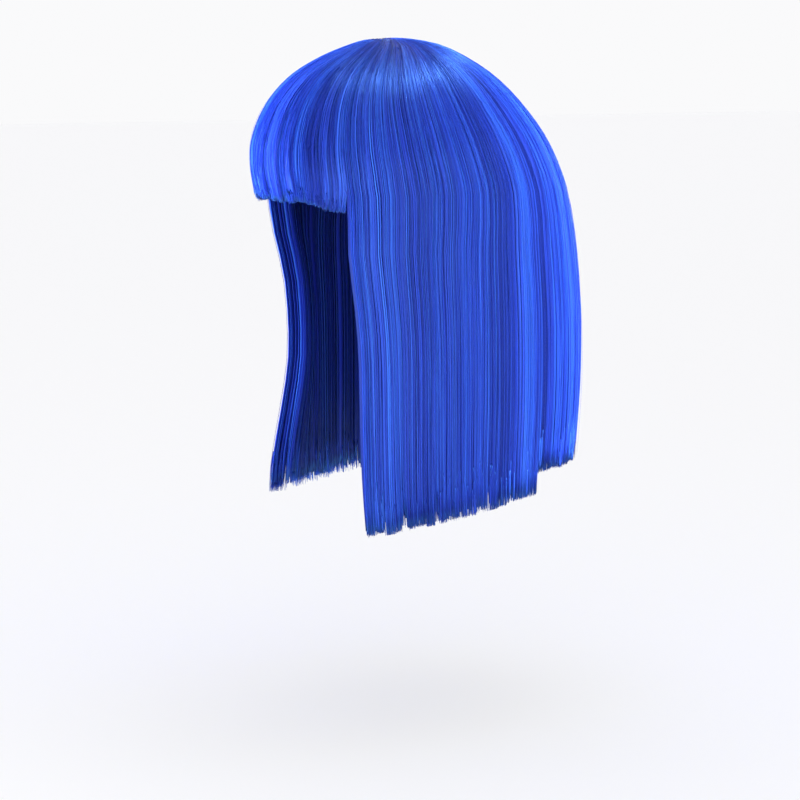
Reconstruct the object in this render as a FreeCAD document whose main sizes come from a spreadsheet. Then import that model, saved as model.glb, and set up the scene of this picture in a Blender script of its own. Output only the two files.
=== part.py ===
"""Bob wig with a blunt fringe: stretch-net cap, sewn wefts, hair sections, ear tabs and nape adjusters.

Frame: millimetres, +Z up, the face looks along -Y, +X is the wearer's left.
Origin: the inside top of the cap, where the crown of the head rests.
"""
import FreeCAD, Part
import math
import os
import Sketcher

Vector = FreeCAD.Vector
doc = FreeCAD.newDocument("costume_wig")
sheet = doc.addObject("Spreadsheet::Sheet", "Sizes")

# ---------------------------------------------------------------- driving sizes
SIZES = {
    # head form: a ball narrowed in X, whose top is the origin
    "head_radius": 95, "head_half_width": 78,
    # layers of the cap, as offsets out from the head form
    "net_out": 0.6, "ribbon_in": 0.7, "ribbon_out": 1.2, "track_in": 1.3, "track_out": 1.9,
    "hair_in": 2.3,
    # rim of the cap in side view
    "hairline_z": -52, "hairline_width": 10, "temple_y": -64, "tab_front_y": -46, "tab_back_y": -18,
    "tab_top_z": -84, "ear_y": 14, "ear_z": -94, "nape_side_y": 36, "nape_side_z": -128,
    "nape_corner_y": 56, "nape_z": -150, "panel_half": 36, "reach": 130,
    # top of the cap
    "whorl_y": -21, "skin_radius": 28, "skin_margin": 31, "ribbon_half": 5,
    # sewn rows
    "row_height": 4, "row_tilt": 20, "row_first": -20, "row_pitch": 15,
    "front_row_z": -24, "front_row_pitch": 12, "front_row_y": -40,
    # ear tabs and their bendable stays
    "tab_gap": 0.5, "tab_out": 0.9, "tab_length": 30, "tab_toe": 7,
    "stay_half": 2, "stay_in": -0.9, "stay_out": -0.1, "stay_margin": 4,
    # nape adjusters: cones about an upright axis, offsets in from the band's outer face
    "nape_axis_y": 28, "nape_radius": 49.5, "nape_slope": 0.504,
    "band_half_angle": 62, "band_in": 0.3, "band_out": 1.1, "band_low": -149, "band_high": -128,
    "tape_in": 1.3, "tape_out": 1.8, "tape_low": -144, "tape_high": -132,
    "tape_angle": 22, "tape_span": 38,
    "loop_out": 2.8, "loop_low": -142, "loop_high": -134, "loop_first": 10, "loop_pitch": 8,
    "loop_span": 2,
    "hook_in": 3.2, "hook_out": 4.2, "hook_low": -143, "hook_high": -133, "hook_angle": 18,
    "hook_span": 9, "slot_low": -141.5, "slot_high": -134.5, "slot_angle": 20.4, "slot_span": 2,
    "tongue_low": -140, "tongue_high": -136, "tongue_angle": 12.6, "tongue_span": 2.4,
    "strap_in": 3.3, "strap_out": 4.1, "strap_low": -142, "strap_high": -134,
    "strap_start": 23, "strap_end": 58, "anchor_span": 4,
    # care label, blank
    "label_half": 14, "label_low": -100, "label_high": -78, "label_in": -0.5, "label_out": -0.1,
    # hair: power of its rounded plan, and how thick it hangs below the widest level of the head
    "plan_power": 2.3, "hair_side": 15, "hair_depth": 16,
    # cut of the bob in side view
    "fringe_z": -106, "fringe_back_y": -60, "edge_top_y": -87, "edge_mid_y": -78, "edge_mid_z": -175,
    "tip_y": -72, "tip_z": -336, "side_end_y": 61, "side_end_z": -318, "back_z": -303,
    # hair hanging from the lowest rows at the nape
    "under_out_width": 74, "under_out_length": 98, "under_in_width": 64, "under_in_length": 88,
    "under_top": -124, "under_bottom": -291, "under_front_y": 45,
}
# outer surface of the hair from the crown down: height, half width, front and back
LEVELS = [
    (7, 5, -22, -12), (6, 14, -28, 4), (2, 28, -41, 24), (-7, 46, -62, 43), (-21, 63, -84, 64),
    (-41, 78, -101, 84), (-67, 90, -111, 103), (-100, 95, -113, 118), (-140, 95.5, -126, 128),
    (-190, 96, -130, 134), (-245, 96.5, -130, 134.5), (-305, 97, -127, 130), (-350, 97, -122, 127),
]
HEAD_LEVEL = 7
for number, level in enumerate(LEVELS):
    for measure, value in zip(("height", "width", "front", "back"), level):
        SIZES[f"level_{number}_{measure}"] = value

# azimuths, from the front, of the lines that part the hair into sections
PARTINGS = {"hair_curtain": (51, 82), "hair_side": (82, 116), "hair_back": (116, 152)}
ROWS = 8
ROWS_PAST_EARS = 5
FRONT_ROWS = 2
LOOPS = 4

for row, (alias, value) in enumerate(SIZES.items(), start=1):
    sheet.set(f"A{row}", alias)
    sheet.set(f"B{row}", str(value))
    sheet.setAlias(f"B{row}", alias)
doc.recompute()


def size(alias):
    """Value of a named size in the sheet."""
    return float(sheet.get(alias))


# ---------------------------------------------------------------- building blocks
def value_of(text):
    """Number that an expression of sizes gives."""
    return float(sheet.evalExpression(text))


def boolean(kind, label, base, tool):
    """Part::Cut or Part::Common of two objects."""
    result = doc.addObject("Part::" + kind, label)
    result.Base = base
    result.Tool = tool
    result.Label = label
    return result


def fuse(label, shapes):
    """Part::MultiFuse of several objects."""
    result = doc.addObject("Part::MultiFuse", label)
    result.Shapes = shapes
    result.Label = label
    return result


def polygon_sketch(body, label, role, corners):
    """Closed polygon on an origin plane; its corners are pairs of expressions of sizes."""
    sketch = body.newObject("Sketcher::SketchObject", label + "_sketch")
    plane = next(f for f in body.Origin.OriginFeatures if f.Role == role)
    sketch.AttachmentSupport = [(plane, "")]
    sketch.MapMode = "FlatFace"
    points = [Vector(value_of(x), value_of(y), 0) for x, y in corners]
    for here, after in zip(points, points[1:] + points[:1]):
        sketch.addGeometry(Part.LineSegment(here, after))
    for k in range(len(corners)):
        sketch.addConstraint(Sketcher.Constraint("Coincident", k, 2, (k + 1) % len(corners), 1))
    for k, pair in enumerate(corners):
        for kind, text in zip(("DistanceX", "DistanceY"), pair):
            index = sketch.addConstraint(Sketcher.Constraint(kind, -1, 1, k, 1, value_of(text)))
            name = f"corner_{k}_{kind}"
            sketch.renameConstraint(index, name)
            sketch.setExpression("Constraints." + name, text)
    return sketch


def prism(label, role, corners, length, middle="0"):
    """Polygon padded both ways from the plane; middle shifts a side profile along X."""
    body = doc.addObject("PartDesign::Body", label)
    pad = body.newObject("PartDesign::Pad", label + "_pad")
    pad.Profile = polygon_sketch(body, label, role, corners)
    pad.Midplane = True
    pad.setExpression("Length", length)
    body.setExpression("Placement.Base.x", middle)
    return body


def shell(label, inner, outer):
    """Closed skin between two offsets out from the head form, before it is narrowed in X."""
    return boolean("Cut", label, ball(label + "_outer", outer), ball(label + "_inner", inner))


def ball(label, offset):
    """Head form at an offset, before it is narrowed in X."""
    result = doc.addObject("Part::Sphere", label)
    result.setExpression("Radius", f"Sizes.head_radius + {offset}")
    result.setExpression("Placement.Base.z", "-Sizes.head_radius")
    return result


def narrowed(label, base, zone, kind="Common"):
    """A skin and a zone combined, then narrowed in X to the width of the head."""
    result = doc.addObject("Part::Scale", label)
    result.Base = boolean(kind, label + "_round", base, zone)
    result.Uniform = False
    result.setExpression("XScale", "Sizes.head_half_width / Sizes.head_radius")
    result.Label = label
    return result


def box(label, low, high):
    """Box between two corners, each three expressions."""
    result = doc.addObject("Part::Box", label)
    for prop, axis, a, b in zip(("Length", "Width", "Height"), "xyz", low, high):
        result.setExpression(prop, f"({b}) - ({a})")
        result.setExpression(f"Placement.Base.{axis}", a)
    return result


def post(label, radius):
    """Upright cylinder at the whorl."""
    result = doc.addObject("Part::Cylinder", label)
    result.setExpression("Radius", radius)
    result.setExpression("Height", "2 * Sizes.reach")
    result.setExpression("Placement.Base.y", "Sizes.whorl_y")
    result.setExpression("Placement.Base.z", "-Sizes.reach")
    return result


def nape_arc(label, inner, outer, low, high, angle, span):
    """Band turned about the upright nape axis, in from the nape's cone; angle is from the back."""
    def radius(offset, z):
        return f"Sizes.nape_radius + ({z} - Sizes.nape_z) * Sizes.nape_slope - ({offset})"

    corners = [(radius(outer, low), low), (radius(inner, low), low),
               (radius(inner, high), high), (radius(outer, high), high)]
    body = doc.addObject("PartDesign::Body", label)
    turn = body.newObject("PartDesign::Revolution", label + "_turn")
    sketch = polygon_sketch(body, label, "XZ_Plane", corners)
    turn.Profile = sketch
    turn.ReferenceAxis = (sketch, ["V_Axis"])
    turn.Midplane = True
    turn.setExpression("Angle", span)
    body.Placement.Rotation = FreeCAD.Rotation(Vector(0, 0, 1), 90 - value_of(angle))
    body.setExpression("Placement.Base.y", "Sizes.nape_axis_y")
    body.Label = label
    return body


# ---------------------------------------------------------------- cap
# widths across the head are widened before the head form is narrowed
WIDER = "* Sizes.head_radius / Sizes.head_half_width"
LEFT_RIGHT = (("left", 1), ("right", -1))

RIM = [("Sizes.nape_corner_y", "Sizes.nape_z"), ("Sizes.nape_side_y", "Sizes.nape_side_z"),
       ("Sizes.ear_y", "Sizes.ear_z"), ("Sizes.tab_back_y", "Sizes.tab_top_z"),
       ("Sizes.tab_front_y", "Sizes.tab_top_z"), ("Sizes.temple_y", "Sizes.hairline_z"),
       ("-Sizes.reach", "Sizes.hairline_z")]
ABOVE = [("-Sizes.reach", "Sizes.reach"), ("Sizes.reach", "Sizes.reach"),
         ("Sizes.reach", "Sizes.nape_z")]


def cap_profile(label, half_from, half_to, sign=1):
    """Side view of the cap between two distances from the middle plane."""
    length = f"({half_to}) - ({half_from})"
    return prism(label, "YZ_Plane", RIM + ABOVE, length, f"{sign} * ({half_to} + {half_from}) / 2")


def net_panels():
    """Three panels of stretch net: one over the middle, one on each side."""
    layer = shell("net_layer", "0", "Sizes.net_out")
    half = "Sizes.panel_half " + WIDER
    middle = cap_profile("net_middle_zone", "-" + half, half)
    panels = [narrowed("net_panel_middle", layer, middle)]
    for side, sign in LEFT_RIGHT:
        zone = cap_profile(f"net_{side}_zone", half, "Sizes.reach", sign)
        panels.append(narrowed(f"net_panel_{side}", layer, zone))
    return panels


def ribbons():
    """Hairline band, crown patch and the elastic ribbons over the seams."""
    layer = shell("ribbon_layer", "Sizes.ribbon_in", "Sizes.ribbon_out")
    top = "Sizes.hairline_z + Sizes.hairline_width"
    band = prism("hairline_zone", "YZ_Plane", [
        ("-Sizes.reach", "Sizes.hairline_z"), ("Sizes.temple_y", "Sizes.hairline_z"),
        ("Sizes.tab_front_y", "Sizes.tab_top_z"),
        ("Sizes.tab_front_y + Sizes.hairline_width", "Sizes.tab_top_z"),
        ("Sizes.temple_y + Sizes.hairline_width / 2", top), ("-Sizes.reach", top)],
        "2 * Sizes.reach")
    pieces = [narrowed("hairline_band", layer, band),
              narrowed("skin_top_patch", layer, post("skin_zone", "Sizes.skin_radius"))]
    low = "Sizes.nape_z + 1"
    half = "Sizes.ribbon_half " + WIDER
    back = box("middle_ribbon_zone", ("-" + half, "Sizes.whorl_y + Sizes.skin_margin", low),
               (half, "Sizes.reach", "Sizes.reach"))
    pieces.append(narrowed("seam_ribbon_middle", layer, back))
    for side, sign in LEFT_RIGHT:
        profile = prism(f"seam_ribbon_{side}_zone", "YZ_Plane", [
            ("-Sizes.reach", top + " + 0.5"), ("0", top + " + 0.5"), ("0", low),
            ("Sizes.reach", low), ("Sizes.reach", "Sizes.reach"), ("-Sizes.reach", "Sizes.reach")],
            f"2 * Sizes.ribbon_half {WIDER}", f"{sign} * Sizes.panel_half {WIDER}")
        pieces.append(narrowed(f"seam_ribbon_{side}", layer, profile))
    return pieces


def weft_rows():
    """Sewn heads of the wefts: tilted rows round the back, level rows above the fringe."""
    layer = shell("track_layer", "Sizes.track_in", "Sizes.track_out")
    cap = cap_profile("track_zone", "-Sizes.reach", "Sizes.reach")
    whole = boolean("Common", "track_skin", layer, cap)
    open_top = boolean("Cut", "track_skin_open", whole, post("track_gap", "Sizes.skin_margin"))
    rows = []
    for k in range(ROWS):
        slab = doc.addObject("Part::Box", f"row_{k + 1}_slab")
        for prop in ("Length", "Width"):
            slab.setExpression(prop, "2 * Sizes.reach")
        slab.setExpression("Height", "Sizes.row_height")
        tilt = FreeCAD.Rotation(Vector(1, 0, 0), -size("row_tilt"))
        corner = Vector(-size("reach"), -size("reach"), 0)
        middle = Vector(0, 0, size("row_first") - k * size("row_pitch"))
        slab.Placement = FreeCAD.Placement(middle + tilt.multVec(corner), tilt)
        start = "Sizes.front_row_y" if k < ROWS_PAST_EARS else "Sizes.ear_y"
        behind = box(f"row_{k + 1}_side", ("-Sizes.reach", start, "-2 * Sizes.reach"),
                     ("Sizes.reach", "Sizes.reach", "Sizes.reach"))
        zone = boolean("Common", f"row_{k + 1}_zone", slab, behind)
        rows.append(narrowed(f"weft_row_{k + 1}", open_top, zone))
    for k in range(FRONT_ROWS):
        low = f"Sizes.front_row_z - {k} * Sizes.front_row_pitch"
        zone = box(f"front_row_{k + 1}_zone", ("-Sizes.reach", "-Sizes.reach", low),
                   ("Sizes.reach", "Sizes.front_row_y - 1", f"{low} + Sizes.row_height"))
        rows.append(narrowed(f"weft_row_front_{k + 1}", open_top, zone))
    return rows


def ear_tabs():
    """Tab in front of each ear, with the bendable stay sewn inside it."""
    tab_layer = shell("tab_layer", "0", "Sizes.tab_out")
    stay_layer = shell("stay_layer", "Sizes.stay_in", "Sizes.stay_out")
    top = "Sizes.tab_top_z - Sizes.tab_gap"
    toe = "Sizes.tab_top_z - Sizes.tab_length"
    middle = "(Sizes.tab_front_y + Sizes.tab_back_y) / 2"
    outline = [("Sizes.tab_front_y + 1", top), (f"{middle} - Sizes.tab_toe", toe + " + 6"),
               (f"{middle} - Sizes.tab_toe / 2", toe), (f"{middle} + Sizes.tab_toe / 2", toe),
               (f"{middle} + Sizes.tab_toe", toe + " + 6"), ("Sizes.tab_back_y - 1", top)]
    strip = [(f"{middle} - Sizes.stay_half", top + " - Sizes.stay_margin"),
             (f"{middle} - Sizes.stay_half", toe + " + Sizes.stay_margin"),
             (f"{middle} + Sizes.stay_half", toe + " + Sizes.stay_margin"),
             (f"{middle} + Sizes.stay_half", top + " - Sizes.stay_margin")]
    pieces = []
    for side, sign in LEFT_RIGHT:
        for name, layer, corners in (("ear_tab", tab_layer, outline), ("ear_stay", stay_layer, strip)):
            zone = prism(f"{name}_{side}_zone", "YZ_Plane", corners, "Sizes.reach",
                         f"{sign} * Sizes.reach / 2")
            pieces.append(narrowed(f"{name}_{side}", layer, zone))
    return pieces


def care_label():
    """Small blank label sewn inside the middle panel."""
    layer = shell("label_layer", "Sizes.label_in", "Sizes.label_out")
    zone = box("label_zone", (f"-Sizes.label_half {WIDER}", "0", "Sizes.label_low"),
               (f"Sizes.label_half {WIDER}", "Sizes.reach", "Sizes.label_high"))
    return [narrowed("care_label", layer, zone)]


# ---------------------------------------------------------------- nape adjusters
def adjusters():
    """Elastic nape band; on each side a looped tape, and a hook on an elastic strap."""
    pieces = [nape_arc("nape_band", "Sizes.band_in", "Sizes.band_out", "Sizes.band_low",
                       "Sizes.band_high", "0", "2 * Sizes.band_half_angle")]
    for side, sign in LEFT_RIGHT:
        pieces += [looped_tape(side, sign), hook(side, sign), strap(side, sign)]
    return pieces


def looped_tape(side, sign):
    tape = nape_arc(f"tape_{side}_base", "Sizes.tape_in", "Sizes.tape_out", "Sizes.tape_low",
                    "Sizes.tape_high", f"{sign} * Sizes.tape_angle", "Sizes.tape_span")
    loops = [nape_arc(f"tape_{side}_loop_{k + 1}", "Sizes.tape_out - 0.1", "Sizes.loop_out",
                      "Sizes.loop_low", "Sizes.loop_high",
                      f"{sign} * (Sizes.loop_first + {k} * Sizes.loop_pitch)", "Sizes.loop_span")
             for k in range(LOOPS)]
    return fuse(f"loop_tape_{side}", [tape] + loops)


def hook(side, sign):
    """Flat hook: a plate with a slot for the strap and a tongue towards the middle of the nape."""
    plate = nape_arc(f"hook_{side}_plate", "Sizes.hook_in", "Sizes.hook_out", "Sizes.hook_low",
                     "Sizes.hook_high", f"{sign} * Sizes.hook_angle", "Sizes.hook_span")
    slot = nape_arc(f"hook_{side}_slot", "Sizes.hook_in - 1", "Sizes.hook_out + 1", "Sizes.slot_low",
                    "Sizes.slot_high", f"{sign} * Sizes.slot_angle", "Sizes.slot_span")
    tongue = nape_arc(f"hook_{side}_tongue", "Sizes.hook_in", "Sizes.hook_out", "Sizes.tongue_low",
                      "Sizes.tongue_high", f"{sign} * Sizes.tongue_angle", "Sizes.tongue_span")
    slotted = boolean("Cut", f"hook_{side}_slotted", plate, slot)
    return fuse(f"adjuster_hook_{side}", [slotted, tongue])


def strap(side, sign):
    """Elastic from the hook to its anchor, where it is sewn through to the nape band."""
    middle = "(Sizes.strap_start + Sizes.strap_end) / 2"
    elastic = nape_arc(f"strap_{side}_elastic", "Sizes.strap_in", "Sizes.strap_out",
                       "Sizes.strap_low", "Sizes.strap_high", f"{sign} * {middle}",
                       "Sizes.strap_end - Sizes.strap_start")
    anchor = nape_arc(f"strap_{side}_anchor", "Sizes.tape_in", "Sizes.strap_out",
                      "Sizes.strap_low", "Sizes.strap_high", f"{sign} * Sizes.strap_end",
                      "Sizes.anchor_span")
    return fuse(f"adjuster_strap_{side}", [elastic, anchor])


# ---------------------------------------------------------------- hair
RING_POINTS = 32
CROWN_RINGS = 12
CROWN_CLOSE = 84
STEPS = 3


def ring(height, half_width, front, back):
    """Closed rounded outline in plan: a superellipse."""
    power = size("plan_power")
    points = []
    for k in range(RING_POINTS):
        angle = 2 * math.pi * k / RING_POINTS
        c = math.cos(angle)
        s = math.sin(angle)
        x = half_width * math.copysign(abs(c) ** (2 / power), c)
        y = (back - front) / 2 * math.copysign(abs(s) ** (2 / power), s)
        points.append(Vector(x, y + (back + front) / 2, height))
    curve = Part.BSplineCurve()
    curve.interpolate(Points=points, PeriodicFlag=True)
    return Part.Wire([curve.toShape()])


def curve_between(u, a, b, c, d):
    """Point at share u from b to c on a smooth curve through four values."""
    return b + u / 2 * (c - a + u * (2 * a - 5 * b + 4 * c - d + u * (3 * b - a - 3 * c + d)))


def smoothed(rows):
    """Rows with more between them, on a smooth curve through them all."""
    last = len(rows) - 1
    result = []
    for k in range(last):
        near = [rows[min(max(j, 0), last)] for j in (k - 1, k, k + 1, k + 2)]
        for step in range(STEPS):
            u = step / STEPS
            result.append([curve_between(u, *values) for values in zip(*near)])
    return result + [rows[last]]


def envelope(label, rows):
    """Closed form through rings from the crown down."""
    result = doc.addObject("Part::Feature", label)
    result.Shape = Part.makeLoft([ring(*row) for row in rows], True, True)
    return result


def outer_rows():
    names = ("height", "width", "front", "back")
    return [tuple(size(f"level_{k}_{name}") for name in names) for k in range(len(LEVELS))]


def inner_rows():
    """Over the head just clear of the cap, below it a constant way in from the outer surface."""
    gap = size("hair_in")
    radius = size("head_radius")
    half_width = size("head_half_width") + gap
    rows = []
    for k in range(CROWN_RINGS, -1, -1):
        angle = math.radians(CROWN_CLOSE * k / CROWN_RINGS)
        along = (radius + gap) * math.cos(angle)
        rows.append((-radius + (radius + gap) * math.sin(angle), half_width * math.cos(angle),
                     -along, along))
    for height, width, front, back in outer_rows()[HEAD_LEVEL + 1:]:
        rows.append((height, width - size("hair_side"), front + size("hair_depth"),
                     back - size("hair_depth")))
    return rows


def hair_skin():
    """The whole layer of hair before it is parted and cut."""
    outside = envelope("hair_outside", smoothed(outer_rows()))
    inside = envelope("hair_inside", inner_rows())
    return boolean("Cut", "hair_layer", outside, inside)


def wedge(label, start, end):
    """Upright prism from the whorl between two azimuths measured from the front towards +X."""
    def corner(azimuth):
        across = f"3 * Sizes.reach * sin({azimuth} deg)"
        along = f"Sizes.whorl_y - 3 * Sizes.reach * cos({azimuth} deg)"
        return across, along

    middle = (start + end) / 2
    corners = [("0", "Sizes.whorl_y"), corner(start), corner(middle), corner(end)]
    return prism(label, "XY_Plane", corners, "6 * Sizes.reach")


def hair_sections():
    """Fringe, and the long sections with the bob's slanting cut and open face."""
    layer = hair_skin()
    fringe_side = PARTINGS["hair_curtain"][0]
    back_side = PARTINGS["hair_back"][1]
    fringe_profile = prism("fringe_profile", "YZ_Plane", [
        ("-2 * Sizes.reach", "Sizes.fringe_z"), ("0", "Sizes.fringe_z"),
        ("0", "Sizes.reach"), ("-2 * Sizes.reach", "Sizes.reach")], "4 * Sizes.reach")
    long_profile = prism("long_profile", "YZ_Plane", [
        ("Sizes.tip_y", "Sizes.tip_z"), ("Sizes.side_end_y", "Sizes.side_end_z"),
        ("Sizes.side_end_y", "Sizes.back_z"), ("2 * Sizes.reach", "Sizes.back_z"),
        ("2 * Sizes.reach", "Sizes.reach"), ("-2 * Sizes.reach", "Sizes.reach"),
        ("-2 * Sizes.reach", "Sizes.fringe_z"), ("Sizes.edge_top_y", "Sizes.fringe_z"),
        ("Sizes.edge_mid_y", "Sizes.edge_mid_z")], "4 * Sizes.reach")
    fringe = boolean("Common", "fringe_part", layer, wedge("fringe_wedge", -fringe_side, fringe_side))
    pieces = [boolean("Common", "hair_fringe", fringe, fringe_profile)]
    long_hair = boolean("Common", "long_hair", layer, long_profile)
    for name, (start, end) in PARTINGS.items():
        for side, sign in LEFT_RIGHT:
            zone = wedge(f"{name}_{side}_wedge", sign * start, sign * end)
            pieces.append(boolean("Common", f"{name}_{side}", long_hair, zone))
    middle = wedge("back_middle_wedge", back_side, 360 - back_side)
    pieces.append(boolean("Common", "hair_back_middle", long_hair, middle))
    return pieces


def nape_hair():
    """Under layer that hangs from the lowest rows inside the back sections."""
    wider = size("head_radius") / size("head_half_width")
    walls = []
    for wall in ("out", "in"):
        half_width = size(f"under_{wall}_width") * wider
        half_length = size(f"under_{wall}_length")
        ends = [Vector(half_width, 0, 0), Vector(0, half_length, 0)]
        if half_width < half_length:
            ends.reverse()
        face = Part.Face(Part.Wire([Part.Ellipse(*ends, Vector(0, 0, 0)).toShape()]))
        tube = doc.addObject("Part::Feature", f"under_{wall}")
        tube.Shape = face.extrude(Vector(0, 0, size("under_top") - size("under_bottom")))
        tube.Placement.Base = Vector(0, 0, size("under_bottom"))
        walls.append(tube)
    ring_wall = boolean("Cut", "under_ring", *walls)
    behind = box("under_zone", ("-Sizes.reach", "Sizes.under_front_y", "-3 * Sizes.reach"),
                 ("Sizes.reach", "2 * Sizes.reach", "0"))
    back = boolean("Common", "under_back", ring_wall, behind)
    return [narrowed("hair_nape", back, ball("under_clearance", "Sizes.hair_in"), "Cut")]


# ---------------------------------------------------------------- build, check, write
pieces = net_panels() + ribbons() + weft_rows() + ear_tabs() + care_label() + adjusters()
pieces += hair_sections() + nape_hair()
doc.recompute()

for obj in doc.Objects:
    if {"Invalid", "Error"} & set(obj.State):
        raise RuntimeError(f"{obj.Label} failed: {obj.State}")
os.makedirs("parts", exist_ok=True)
for old in os.listdir("parts"):
    os.remove(os.path.join("parts", old))
for piece in pieces:
    shape = piece.Shape
    if shape.isNull() or not shape.isValid() or not shape.Solids:
        raise RuntimeError(f"{piece.Label} has no valid solid")
    shape.exportStep(f"parts/{piece.Label}.step")
    limits = shape.optimalBoundingBox()
    print(f"{piece.Label:24s} solids {len(shape.Solids)}  volume {shape.Volume:10.0f}  "
          f"x {limits.XMin:6.1f} {limits.XMax:6.1f}  y {limits.YMin:6.1f} {limits.YMax:6.1f}  "
          f"z {limits.ZMin:6.1f} {limits.ZMax:6.1f}")
print(len(pieces), "nodes")
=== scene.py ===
"""Looks of the costume wig: locks and strands of hair, the net cap with its wefts, and the nape adjusters."""
import math

import bpy
import numpy as np
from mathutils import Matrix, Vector


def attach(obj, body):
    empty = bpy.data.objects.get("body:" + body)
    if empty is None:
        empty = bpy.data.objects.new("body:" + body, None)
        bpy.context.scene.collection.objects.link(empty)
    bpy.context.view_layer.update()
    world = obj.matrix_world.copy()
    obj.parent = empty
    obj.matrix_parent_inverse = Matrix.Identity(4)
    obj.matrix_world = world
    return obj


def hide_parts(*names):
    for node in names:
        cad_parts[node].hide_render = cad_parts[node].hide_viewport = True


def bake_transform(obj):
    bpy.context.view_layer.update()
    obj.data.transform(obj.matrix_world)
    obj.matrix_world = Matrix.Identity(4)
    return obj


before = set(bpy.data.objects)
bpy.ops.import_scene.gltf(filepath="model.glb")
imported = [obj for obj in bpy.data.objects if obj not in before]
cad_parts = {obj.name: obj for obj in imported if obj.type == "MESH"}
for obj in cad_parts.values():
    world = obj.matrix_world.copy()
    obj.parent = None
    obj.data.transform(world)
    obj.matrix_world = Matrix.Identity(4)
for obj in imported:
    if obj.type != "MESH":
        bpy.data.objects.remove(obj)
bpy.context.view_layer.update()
MM = 0.001
rng = np.random.default_rng(7)

# ---------------------------------------------------------------- sizes shared with the CAD source, in mm
# outer surface of the hair from the crown down: height, half width, front and back
LEVELS = np.array([
    (7, 5, -22, -12), (6, 14, -28, 4), (2, 28, -41, 24), (-7, 46, -62, 43), (-21, 63, -84, 64),
    (-41, 78, -101, 84), (-67, 90, -111, 103), (-100, 95, -113, 118), (-140, 95.5, -126, 128),
    (-190, 96, -130, 134), (-245, 96.5, -130, 134.5), (-305, 97, -127, 130), (-350, 97, -122, 127)], float)
LAST = len(LEVELS) - 1
HEAD_LEVEL = 7
PLAN_POWER = 2.3
WHORL = np.array([0, -21, 0])
HEAD_RADIUS = 95
NARROW = 78 / 95
FRINGE_Z = -106
TIP_Y, TIP_Z = -72, -336
SIDE_END_Y, SIDE_END_Z = 61, -318
BACK_Z = -303
EDGE_TOP = math.radians(44.4)
EDGE_LOW = math.radians(33.5)
# plan angles, from the wearer's side, between the sections of hair
CURTAIN = (-EDGE_LOW, math.radians(-12.8))
SIDE = (math.radians(-12.8), math.radians(8.3))
BACK = (math.radians(8.3), math.radians(48.6))
MIDDLE = (math.radians(48.6), math.radians(131.4))
FRINGE = (-math.pi + EDGE_TOP, -EDGE_TOP)


# ---------------------------------------------------------------- curves and surfaces
def smooth_rows(rows, s):
    """Rows of values read at any share between them, on a smooth curve."""
    s = np.clip(s, 0, len(rows) - 1)
    k = np.minimum(s.astype(int), len(rows) - 2)
    u = (s - k)[..., None]
    a, b, c, d = (rows[np.clip(k + j, 0, len(rows) - 1)] for j in (-1, 0, 1, 2))
    return b + u / 2 * (c - a + u * (2 * a - 5 * b + 4 * c - d + u * (3 * b - a - 3 * c + d)))


def smoothstep(low, high, x):
    t = np.clip((x - low) / (high - low), 0, 1)
    return t * t * (3 - 2 * t)


def hair_surface(phi, s):
    """Point of the hair's outer surface at plan angle phi and level s."""
    height, width, front, back = np.moveaxis(smooth_rows(LEVELS, s), -1, 0)
    c, d = np.cos(phi), np.sin(phi)
    x = width * np.sign(c) * np.abs(c) ** (2 / PLAN_POWER)
    y = (back - front) / 2 * np.sign(d) * np.abs(d) ** (2 / PLAN_POWER)
    return np.stack([x, y + (back + front) / 2, height], -1)


def unit(v):
    return v / np.maximum(np.linalg.norm(v, axis=-1, keepdims=True), 1e-9)


def run_along(paths):
    """Distance along each path from its first point."""
    steps = np.linalg.norm(np.diff(paths, axis=-2), axis=-1)
    return np.concatenate([np.zeros((*steps.shape[:-1], 1)), np.cumsum(steps, -1)], -1)


def from_whorl(points, narrow=1):
    """Distance from the whorl in plan; narrow is how much the head form is squeezed sideways."""
    return np.hypot(points[..., 0] / narrow, points[..., 1] - WHORL[1])


def as_round(points):
    """Points as seen from the middle of the head form, with the form stretched into a ball."""
    return (points + (0, 0, HEAD_RADIUS)) / (NARROW, 1, 1)


def as_head(points):
    """Points round the ball put back on the head form."""
    return points * (NARROW, 1, 1) - (0, 0, HEAD_RADIUS)


def head_height(x, y, offset):
    """Height of the head form over a place in plan, offset from its skin."""
    return np.sqrt((HEAD_RADIUS + offset) ** 2 - (x / NARROW) ** 2 - y ** 2) - HEAD_RADIUS


def hair_normal(phi, s):
    """Outward normal of the hair's surface."""
    step = 0.02
    across = hair_surface(phi + step, s) - hair_surface(phi - step, s)
    down = hair_surface(phi, s + step) - hair_surface(phi, s - step)
    normal = unit(np.cross(down, across))
    outward = hair_surface(phi, s) - np.array([0, 5, -110])
    return normal * np.sign((normal * outward).sum(-1, keepdims=True))


def cut_height(y):
    """Height of the bob's cut edge: it slants along the sides and steps up at the back."""
    side = TIP_Z + (y - TIP_Y) * (SIDE_END_Z - TIP_Z) / (SIDE_END_Y - TIP_Y)
    return np.where(y < SIDE_END_Y, side, BACK_Z)


# ---------------------------------------------------------------- mesh building
def placed(name, data):
    """New object in the scene."""
    made = bpy.data.objects.new(name, data)
    bpy.context.scene.collection.objects.link(made)
    return made


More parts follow.
